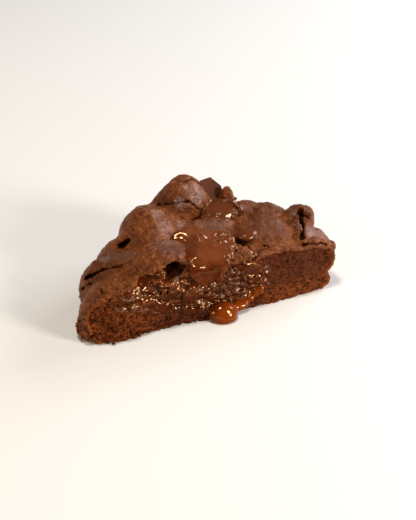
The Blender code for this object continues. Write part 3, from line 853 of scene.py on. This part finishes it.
# Painted shade: recesses and the cavity are coloured nearly black.
colour = mixed(tree, spread(tree, marked(tree, "hollow_shade"), 0.0, 1.0, 0.0, 0.85), colour, PAINTED_HOLLOW_SHADE)
tree.links.new(colour, shader.inputs["Base Color"])
rough = spread(tree, crust_patches, 0.4, 0.6, 0.32, 0.46)
rough = mixed_number(tree, marked(tree, "glazed"), rough, 0.27)
tree.links.new(mixed_number(tree, marked(tree, "wet"), rough, 0.13), shader.inputs["Roughness"])
gloss = mixed_number(tree, marked(tree, "glazed"), 0.20, 1.6)
gloss = mixed_number(tree, marked(tree, "crumb"), gloss, 0.06)
gloss = mixed_number(tree, marked(tree, "wet"), gloss, wet_gloss)
gloss = mixed_number(tree, spread(tree, marked(tree, "hollow_shade"), 0.3, 0.9, 0.0, 1.0), gloss, 0.0)
tree.links.new(gloss, shader.inputs["Specular IOR Level"])
glint = mixed(tree, marked(tree, "wet"), CRUST_GLINT, WET_GLINT)
tree.links.new(glint, shader.inputs["Specular Tint"])
relief = mixed_number(tree, marked(tree, "crumb"), crust_grain, crumb_grain)
relief = mixed_number(tree, spread(tree, marked(tree, "wet"), 0.0, 1.0, 0.0, 0.8), relief, 0.5)
tree.links.new(roughened(tree, relief, 1.0, 0.0007), shader.inputs["Normal"])
for piece in (baked_skin, torn_crumb):
    piece.data.materials.append(dough_finish)
    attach(piece, "root")
    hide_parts("cookie")


# ---- Bits of crumb ------------------------------------------------------------------------------
# Loose bits of the same dough that tore off and stayed on the break and beside it, thickest at the
# dry ends.

BIT_RADIUS = 0.5
BITS_PER_M2 = 520000.0
BITS_ABOVE = 0.9            # none lower than this, so that none reaches into the table
SMALLEST_BIT = 0.45
FALLEN_BIT = (-41.2, -0.85, 1.18)   # one that stands on the table just in front of the break
FALLEN_BIT_SHAPE = (1.5, 1.1, 2.6)

bit_shape = bmesh.new()
bmesh.ops.create_icosphere(bit_shape, subdivisions=2, radius=BIT_RADIUS * MM)
uneven = np.random.default_rng(5)
for vert in bit_shape.verts:
    vert.co = vert.co * (0.6 + 0.75 * uneven.random())
    vert.co.z *= 0.75
bit_mesh = bpy.data.meshes.new("bit")
bit_shape.to_mesh(bit_mesh)
bit_shape.free()
bit_mesh.shade_smooth()
bit = bpy.data.objects.new("bit", bit_mesh)


def enabled(sockets, name):
    """The socket of that name that is in use, among those of other kinds."""
    return [one for one in sockets if one.name == name and one.enabled][0]


sprinkle = bpy.data.node_groups.new("sprinkle", "GeometryNodeTree")
for name, kind in (("Surface", "Geometry"), ("Bit", "Object"), ("Bits per m2", "Float"),
                   ("Smallest", "Float"), ("Largest", "Float"), ("Seed", "Int"), ("Material", "Material")):
    sprinkle.interface.new_socket(name, in_out="INPUT", socket_type="NodeSocket" + kind)
sprinkle.interface.new_socket("Bits", in_out="OUTPUT", socket_type="NodeSocketGeometry")
takes = sprinkle.nodes.new("NodeGroupInput")
gives = sprinkle.nodes.new("NodeGroupOutput")
where = sprinkle.nodes.new("GeometryNodeInputNamedAttribute")
where.inputs["Name"].default_value = "bits"
share = sprinkle.nodes.new("ShaderNodeMath")
share.operation = "MULTIPLY"
spots = sprinkle.nodes.new("GeometryNodeDistributePointsOnFaces")
pick = sprinkle.nodes.new("GeometryNodeObjectInfo")
pick.inputs["As Instance"].default_value = True
turned = sprinkle.nodes.new("FunctionNodeRandomValue")
turned.data_type = "FLOAT_VECTOR"
turned.inputs["Max"].default_value = (6.28, 6.28, 6.28)
sized = sprinkle.nodes.new("FunctionNodeRandomValue")
sized.data_type = "FLOAT"
placed = sprinkle.nodes.new("GeometryNodeInstanceOnPoints")
real = sprinkle.nodes.new("GeometryNodeRealizeInstances")
coloured = sprinkle.nodes.new("GeometryNodeSetMaterial")
for start, end in (
    (takes.outputs["Surface"], spots.inputs["Mesh"]),
    (takes.outputs["Bits per m2"], share.inputs[0]),
    (where.outputs["Attribute"], share.inputs[1]),
    (share.outputs[0], spots.inputs["Density"]),
    (takes.outputs["Seed"], spots.inputs["Seed"]),
    (takes.outputs["Smallest"], enabled(sized.inputs, "Min")),
    (takes.outputs["Largest"], enabled(sized.inputs, "Max")),
    (takes.outputs["Seed"], sized.inputs["Seed"]),
    (takes.outputs["Seed"], turned.inputs["Seed"]),
    (takes.outputs["Bit"], pick.inputs["Object"]),
    (spots.outputs["Points"], placed.inputs["Points"]),
    (pick.outputs["Geometry"], placed.inputs["Instance"]),
    (enabled(turned.outputs, "Value"), placed.inputs["Rotation"]),
    (enabled(sized.outputs, "Value"), placed.inputs["Scale"]),
    (placed.outputs["Instances"], real.inputs["Geometry"]),
    (real.outputs["Geometry"], coloured.inputs["Geometry"]),
    (takes.outputs["Material"], coloured.inputs["Material"]),
    (coloured.outputs["Geometry"], gives.inputs["Bits"]),
):
    sprinkle.links.new(start, end)

place = points_of(torn_crumb)
at_front = step_between(2.6, 1.2, place[1] - break_wall(place[0], place[2]))
dry_front = at_front * (1.0 - 0.97 * soaked(*place)) * (place[2] > BITS_ABOVE)
mark(torn_crumb, "bits", dry_front * (0.15 + 0.85 * step_between(30.0, -10.0, place[0])))
place = points_of(baked_skin)
beside = step_between(5.0, 2.5, place[1] - break_wall(place[0], place[2])) * (place[2] > 2.0)
at_foot = left_foot(place[0], place[2], -44.0, 9.0)
mark(baked_skin, "bits", (np.maximum(0.12 * beside, at_foot) + 0.006) * (place[2] > BITS_ABOVE))
for name, surface, largest, seed in (("break_bits", torn_crumb, 1.25, 3), ("crust_bits", baked_skin, 1.1, 8)):
    bits = set_out(name, surface.data)
    modifier = bits.modifiers.new("sprinkle", "NODES")
    modifier.node_group = sprinkle
    socket = {one.name: one.identifier for one in sprinkle.interface.items_tree if one.in_out == "INPUT"}
    modifier[socket["Bit"]] = bit
    modifier[socket["Bits per m2"]] = BITS_PER_M2
    modifier[socket["Smallest"]] = SMALLEST_BIT
    modifier[socket["Largest"]] = largest
    modifier[socket["Seed"]] = seed
    modifier[socket["Material"]] = dough_finish
    made = bpy.data.meshes.new_from_object(bits.evaluated_get(bpy.context.evaluated_depsgraph_get()))
    bits.modifiers.clear()
    bits.data = made
    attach(bits, "root")
    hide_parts("cookie")

fallen_mesh = bit_mesh.copy()
fallen_mesh.name = "fallen_bit"
for vert in fallen_mesh.vertices:
    vert.co = vert.co * Vector(FALLEN_BIT_SHAPE) + Vector(FALLEN_BIT) * MM + seat
fallen_mesh.materials.append(dough_finish)
fallen_bit = set_out("fallen_bit", fallen_mesh)
mark(fallen_bit, "crumb", np.ones(len(fallen_mesh.vertices)))
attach(fallen_bit, "root")
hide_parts("cookie")
bpy.data.objects.remove(bit)


# ---- Solid chocolate ----------------------------------------------------------------------------
# A broken block of dark chocolate standing in the dough at the back, its flat face to the front.

CHUNK_FACE = (              # x, z
    (14.9, 34.6), (10.2, 34.4), (7.7, 31.3), (9.7, 24.3), (19.3, 24.3), (19.1, 27.9), (18.5, 31.1),
)
CHUNK_STANDS = (14.1, 37.5, 28.5)   # a point of its face
CHUNK_LEANS = (0.12, 0.75)          # how much its face goes back per millimetre to the right, and up
CHUNK_BACK = (2.6, 6.4, -3.4)       # how far the back of the block lies behind its face
CHUNK_TAPER = 0.8                   # the back's size against the face's
CHUNK_EDGE = 0.35
SOLID_DARK = (0.065, 0.016, 0.005, 1.0)
SOLID_PALE = (0.090, 0.024, 0.008, 1.0)

block = bmesh.new()
face_points = []
for x, z in CHUNK_FACE:
    y = CHUNK_STANDS[1] + CHUNK_LEANS[0] * (x - CHUNK_STANDS[0]) + CHUNK_LEANS[1] * (z - CHUNK_STANDS[2])
    face_points.append(Vector((x, y, z)))
face_middle = sum(face_points, Vector()) / len(face_points)
for point in face_points:
    block.verts.new(point * MM + seat)
    back_at = face_middle + (point - face_middle) * CHUNK_TAPER + Vector(CHUNK_BACK)
    block.verts.new(back_at * MM + seat)
bmesh.ops.convex_hull(block, input=block.verts)
bmesh.ops.dissolve_limit(block, angle_limit=math.radians(5.0), verts=block.verts, edges=block.edges)
bmesh.ops.bevel(block, geom=list(block.edges), offset=CHUNK_EDGE * MM, segments=2, profile=0.6,
                affect="EDGES")
bmesh.ops.triangulate(block, faces=block.faces)
bmesh.ops.recalc_face_normals(block, faces=block.faces)
chunk_mesh = bpy.data.meshes.new("chunk")
block.to_mesh(chunk_mesh)
block.free()
chunk = set_out("chunk", chunk_mesh)

solid, tree, shader = new_finish("solid_chocolate")
solid_grain, solid_patches = grained(tree, 1.4, 4.0)
colour = mixed(tree, spread(tree, solid_patches, 0.35, 0.65, 0.0, 1.0), SOLID_DARK, SOLID_PALE)
tree.links.new(colour, shader.inputs["Base Color"])
shader.inputs["Roughness"].default_value = 0.42
shader.inputs["Specular IOR Level"].default_value = 0.07
tree.links.new(roughened(tree, solid_grain, 0.5, 0.0001), shader.inputs["Normal"])
chunk_mesh.materials.append(solid)
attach(chunk, "root")
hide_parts("chocolate_chunk")


# ---- Melted chocolate ---------------------------------------------------------------------------
# Pieces of chocolate that melted in the oven and set again: a glossy pool in front of the block
# with rough chocolate beside it, a bead beside the caramel, a dull smear on the left side and a
# bit in the rim's hollow.

MELT_CELL = 0.25
MELT_BANK = 0.5             # how far each one runs up the dough around it
MELT_UNDER = 1.4            # how deep each one reaches into the dough
NO_LEVEL = 40.0             # for the ones that aren't cut off level
MELTED = (                  # piece, node, unevenness, level of its top, and its drops: middle, half sizes
    ("melted_disc", "melted_pool", 0.12, 27.6, (((14.6, 32.2, 24.4), (7.4, 7.4, 5.2)),)),
    ("melted_step", "melted_pool", 0.25, 26.2, (((9.8, 28.4, 24.4), (4.4, 3.4, 3.4)),)),
    ("rough_chocolate", "melted_pool", 0.9, NO_LEVEL,
     (((20.4, 32.6, 26.2), (2.4, 3.4, 2.2)), ((21.0, 29.0, 25.4), (2.4, 2.8, 2.2)),
      ((17.6, 27.0, 25.0), (2.2, 1.8, 1.8)))),
    ("bead", "melted_chip_right", 0.10, NO_LEVEL, (((17.8, 13.7, 24.4), (4.0, 3.8, 1.9)),)),
    ("rim_bit", "melted_chip_rim", 0.7, NO_LEVEL,
     (((38.5, 14.8, 22.3), (2.0, 2.6, 2.0)), ((39.4, 11.8, 21.4), (1.4, 1.8, 1.6)))),
)
SMEAR_OUTLINE = (           # x, y
    (-31.6, 33.5), (-30.6, 29.6), (-29.4, 26.6), (-27.2, 24.0), (-25.2, 20.5), (-25.6, 16.5),
    (-28.6, 16.3), (-31.4, 18.4), (-32.8, 22.0), (-33.4, 27.5), (-33.4, 32.5),
)
SMEAR_THICKNESS = 0.20
SMEAR_UNDER = 1.2
MELTED_COLOUR = (0.105, 0.027, 0.008, 1.0)
MELTED_DULL = (0.135, 0.050, 0.022, 1.0)

melted, tree, shader = new_finish("melted_chocolate")
colour = mixed(tree, marked(tree, "dull"), MELTED_COLOUR, MELTED_DULL)
tree.links.new(colour, shader.inputs["Base Color"])
tree.links.new(mixed_number(tree, marked(tree, "dull"), 0.18, 0.42), shader.inputs["Roughness"])
shader.inputs["Specular IOR Level"].default_value = 0.35
shader.inputs["Specular Tint"].default_value = (1.0, 0.86, 0.74, 1.0)

for name, node, unevenness, level, drops in MELTED:
    low = [min(middle[i] - half_sizes[i] for middle, half_sizes in drops) - 2.0 for i in range(3)]
    high = [max(middle[i] + half_sizes[i] for middle, half_sizes in drops) + 2.0 for i in range(3)]
    (gx, gy, gz), corner = grid_over(low, high, MELT_CELL)
    form = ellipsoid(gx, gy, gz, *drops[0])
    for drop in drops[1:]:
        form = melt(form, ellipsoid(gx, gy, gz, *drop), 0.8)
    form = carve(form, gz - level, 0.8) + unevenness * layered_grain(gx, gy, gz, 1.8, 2, turn=51)
    dough = whole_dough(gx, gy, gz)
    bank = np.maximum(dough - 0.1, form - MELT_BANK)
    form = np.maximum(melt(form, bank, MELT_BANK), -dough - MELT_UNDER)
    piece = skin_of(name, form.astype(np.float32), corner, MELT_CELL)
    piece.data.materials.append(melted)
    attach(piece, "root")
    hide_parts(node)

(gx, gy, gz), corner = grid_over((-38.0, 13.0, 13.0), (-22.0, 37.0, 28.0), MELT_CELL)
dough = whole_dough(gx, gy, gz)
away = inside_outline(gx, gy, SMEAR_OUTLINE) + 0.7 * grain(gx, gy, gz, 3.0, turn=52)
mound = (SMEAR_THICKNESS + 0.5) * (1.0 - np.exp(np.clip(away, None, 2.0) / 0.9)) - 0.3
form = np.maximum(dough - mound, -dough - SMEAR_UNDER)
smear = skin_of("smear", form.astype(np.float32), corner, MELT_CELL)
mark(smear, "dull", np.ones(len(smear.data.vertices)))
smear.data.materials.append(melted)
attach(smear, "root")
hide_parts("melted_chip_left")


# ---- Table and light ----------------------------------------------------------------------------
# A plain pale table top, and soft light: a wide window on the right, a small lamp above, one in
# front on the right, a weak warm one on the left, and a pale room.

TABLE_SIZE = 3.0
TABLE_COLOUR = (0.76, 0.77, 0.795, 1.0)
LIT_PLACE = Vector((0.0, 0.0, 0.015))   # what the lamps point at
ROOM_COLOUR = (1.0, 0.98, 0.96, 1.0)

table_mesh = bpy.data.meshes.new("table")
half = TABLE_SIZE / 2.0
corners = [(-half, -half, 0), (half, -half, 0), (half, half, 0), (-half, half, 0)]
table_mesh.from_pydata(corners, [], [(0, 1, 2, 3)])
table = set_out("table", table_mesh)
table_finish, _, shader = new_finish("pale_table")
shader.inputs["Base Color"].default_value = TABLE_COLOUR
shader.inputs["Roughness"].default_value = 0.6
table_mesh.materials.append(table_finish)

LIGHTS = (                  # name, place, width, height, watts, colour
    ("window", (0.66, 0.20, 0.30), 0.50, 0.30, 4.4, (0.95, 0.97, 1.0)),
    ("ceiling_lamp", (-0.08, 0.06, 0.80), 0.14, 0.14, 3.7, (1.0, 0.92, 0.80)),
    ("side_lamp", (0.46, -0.52, 0.30), 0.18, 0.18, 5.0, (1.0, 0.92, 0.80)),
    ("left_lamp", (-0.60, -0.10, 0.35), 0.30, 0.30, 1.4, (1.0, 0.76, 0.46)),
)
for name, place, width, height, watts, colour in LIGHTS:
    lamp = bpy.data.lights.new(name, "AREA")
    lamp.shape = "RECTANGLE"
    lamp.size, lamp.size_y = width, height
    lamp.energy = watts
    lamp.color = colour
    light = set_out(name, lamp)
    light.location = place
    light.rotation_euler = (LIT_PLACE - Vector(place)).to_track_quat("-Z", "Y").to_euler()
room = bpy.data.worlds.new("room")
room.use_nodes = True
room.node_tree.nodes["Background"].inputs["Color"].default_value = ROOM_COLOUR
room.node_tree.nodes["Background"].inputs["Strength"].default_value = 0.10
bpy.context.scene.world = room
bpy.context.scene.view_settings.view_transform = "Standard"
